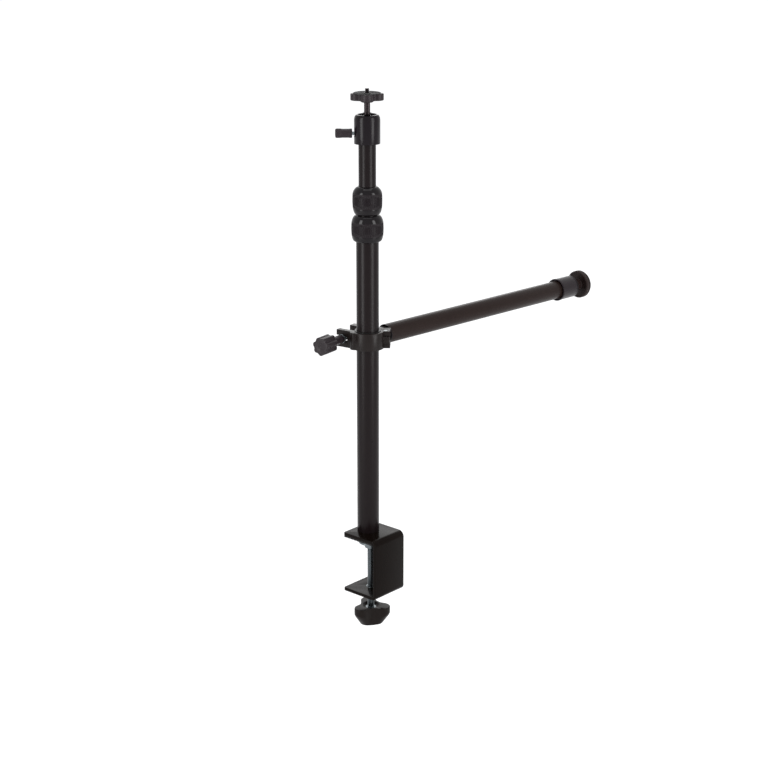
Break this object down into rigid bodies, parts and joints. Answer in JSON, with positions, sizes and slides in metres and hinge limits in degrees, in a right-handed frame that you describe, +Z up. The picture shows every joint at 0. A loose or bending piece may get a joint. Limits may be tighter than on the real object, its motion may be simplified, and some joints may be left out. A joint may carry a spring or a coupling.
{
  "type": "desk clamp mount",
  "caption": "Desk clamp with a telescopic column, a small ball head and stud on top, and a sliding clamp collar that carries a horizontal arm ending in a mounting disc.",
  "frame": {"origin": "on the face of the desk pad under the upper jaw, on the axis of the column", "axes": "+Z up along the column, +X along the desk edge towards the arm, +Y from the desk edge into the desk"},
  "size_m": [0.5515, 0.0999, 0.7961],
  "materials": {
    "gloss_black_steel": "gloss black powder coat on bent steel",
    "black_rubber": "matt black rubber",
    "zinc_steel": "bright zinc plate",
    "knob_plastic": "matt black moulded plastic",
    "rolled_steel": "oiled rolled steel",
    "dark_aluminium": "dark anodised aluminium",
    "black_tube": "satin black coat on aluminium tube",
    "black_arm_tube": "satin black-brown coat on aluminium tube",
    "liner_plastic": "black acetal",
    "lock_rubber": "ribbed black plastic",
    "housing_black": "satin black anodised aluminium",
    "dark_steel": "dark burnished steel",
    "wheel_black": "matt black moulded plastic",
    "cast_black": "satin black coat on die-cast metal",
    "sleeve_satin": "satin grey-violet coat"
  },
  "bodies": {
    "column_base": {"clamp_bracket": "gloss_black_steel", "desk_pad": "black_rubber", "clamp_nut": "zinc_steel", "column_screw": "zinc_steel", "column_base_plug": "dark_aluminium", "main_tube": "black_tube", "lower_lock_ferrule": "liner_plastic", "lower_lock_collet": "liner_plastic"},
    "lower_lock": {"lower_lock_collar": "lock_rubber"},
    "pressure_foot": {"pressure_plate": "zinc_steel", "pressure_pad": "black_rubber"},
    "clamp_handle": {"clamp_spindle": "rolled_steel", "clamp_knob": "knob_plastic", "knob_insert": "zinc_steel", "knob_cap": "knob_plastic"},
    "middle_section": {"middle_tube": "black_tube", "middle_guide_bush": "liner_plastic", "upper_lock_ferrule": "liner_plastic", "upper_lock_collet": "liner_plastic"},
    "upper_lock": {"upper_lock_collar": "lock_rubber"},
    "top_section": {"top_tube": "black_tube", "top_guide_bush": "liner_plastic", "top_plug": "dark_aluminium", "ball_housing": "housing_black"},
    "side_lock": {"ball_lock_screw": "zinc_steel", "ball_lock_knob": "knob_plastic"},
    "ball_cup": {"ball_seat": "liner_plastic"},
    "ball": {"ball_stem": "dark_steel", "camera_stud": "dark_steel"},
    "wheel": {"lock_wheel": "wheel_black", "friction_disc": "black_rubber"},
    "column_slider": {"column_liner": "liner_plastic"},
    "arm_carrier": {"collar_rear": "cast_black", "hinge_pin": "zinc_steel", "collar_nut": "zinc_steel", "arm_screw": "zinc_steel", "arm_plug": "dark_aluminium", "arm_tube": "black_arm_tube", "arm_sleeve": "sleeve_satin", "arm_end_plug": "dark_aluminium", "arm_end_stud": "zinc_steel"},
    "gate": {"collar_gate": "cast_black"},
    "washer": {"collar_washer": "rolled_steel"},
    "collar_handle": {"star_knob": "knob_plastic", "collar_screw": "rolled_steel"},
    "end_disc": {"arm_end_disc": "wheel_black", "arm_end_pad": "black_rubber"}
  },
  "joints": [
    {"name": "clamp_lift", "type": "slide", "parent": "column_base", "child": "pressure_foot", "axis": [0, 0, 1], "range_m": [-0.06, 0]},
    {"name": "clamp_screw_turn", "type": "hinge", "parent": "pressure_foot", "child": "clamp_handle", "pos_m": [0, -0.0049, -0.1], "axis": [0, 0, 1], "range_deg": [-14401, 0]},
    {"name": "lower_lock_turn", "type": "hinge", "parent": "column_base", "child": "lower_lock", "pos_m": [0, 0, 0.4623], "axis": [0, 0, 1], "range_deg": [0, 90]},
    {"name": "middle_slide", "type": "slide", "parent": "column_base", "child": "middle_section", "axis": [0, 0, 1], "range_m": [0, 0.33]},
    {"name": "upper_lock_turn", "type": "hinge", "parent": "middle_section", "child": "upper_lock", "pos_m": [0, 0, 0.5003], "axis": [0, 0, 1], "range_deg": [0, 90]},
    {"name": "top_slide", "type": "slide", "parent": "middle_section", "child": "top_section", "axis": [0, 0, 1], "range_m": [-0.05, 0.3]},
    {"name": "side_lock_turn", "type": "hinge", "parent": "top_section", "child": "side_lock", "pos_m": [-0.01338, 0.01486, 0.5953], "axis": [-0.6691, 0.7431, 0], "range_deg": [0, 360]},
    {"name": "ball_pan", "type": "hinge", "parent": "top_section", "child": "ball_cup", "pos_m": [0, 0, 0.61], "axis": [0, 0, 1], "continuous": true},
    {"name": "ball_tilt", "type": "hinge", "parent": "ball_cup", "child": "ball", "pos_m": [0, 0, 0.61], "axis": [1, 0, 0], "range_deg": [-25, 25]},
    {"name": "wheel_turn", "type": "hinge", "parent": "ball", "child": "wheel", "pos_m": [0, 0, 0.6407], "axis": [0, 0, 1], "continuous": true},
    {"name": "collar_slide", "type": "slide", "parent": "column_base", "child": "column_slider", "axis": [0, 0, 1], "range_m": [-0.27, 0.125]},
    {"name": "collar_turn", "type": "hinge", "parent": "column_slider", "child": "arm_carrier", "pos_m": [0, 0, 0.3005], "axis": [0, 0, 1], "continuous": true},
    {"name": "collar_screw_travel", "type": "slide", "parent": "arm_carrier", "child": "washer", "axis": [0.9898, 0.1426, 0], "range_m": [-0.0125, 0]},
    {"name": "collar_knob_turn", "type": "hinge", "parent": "washer", "child": "collar_handle", "pos_m": [-0.06392, 0.02292, 0.3005], "axis": [0.9898, 0.1426, 0], "range_deg": [-3601, 0]},
    {"name": "gate_open", "type": "hinge", "parent": "arm_carrier", "child": "gate", "pos_m": [0.017, -0.01888, 0.3005], "axis": [0, 0, 1], "range_deg": [0, 12.5]},
    {"name": "end_disc_turn", "type": "hinge", "parent": "arm_carrier", "child": "end_disc", "pos_m": [0.45759, -0.03601, 0.3015], "axis": [0.9969, -0.0785, 0], "continuous": true}
  ],
  "couplings": [
    {"joint": "clamp_screw_turn", "follows": "clamp_lift", "rad_per_m": 4188.8},
    {"joint": "collar_knob_turn", "follows": "collar_screw_travel", "rad_per_m": 5026.5},
    {"joint": "gate_open", "follows": "collar_screw_travel", "rad_per_m": -16.075}
  ]
}
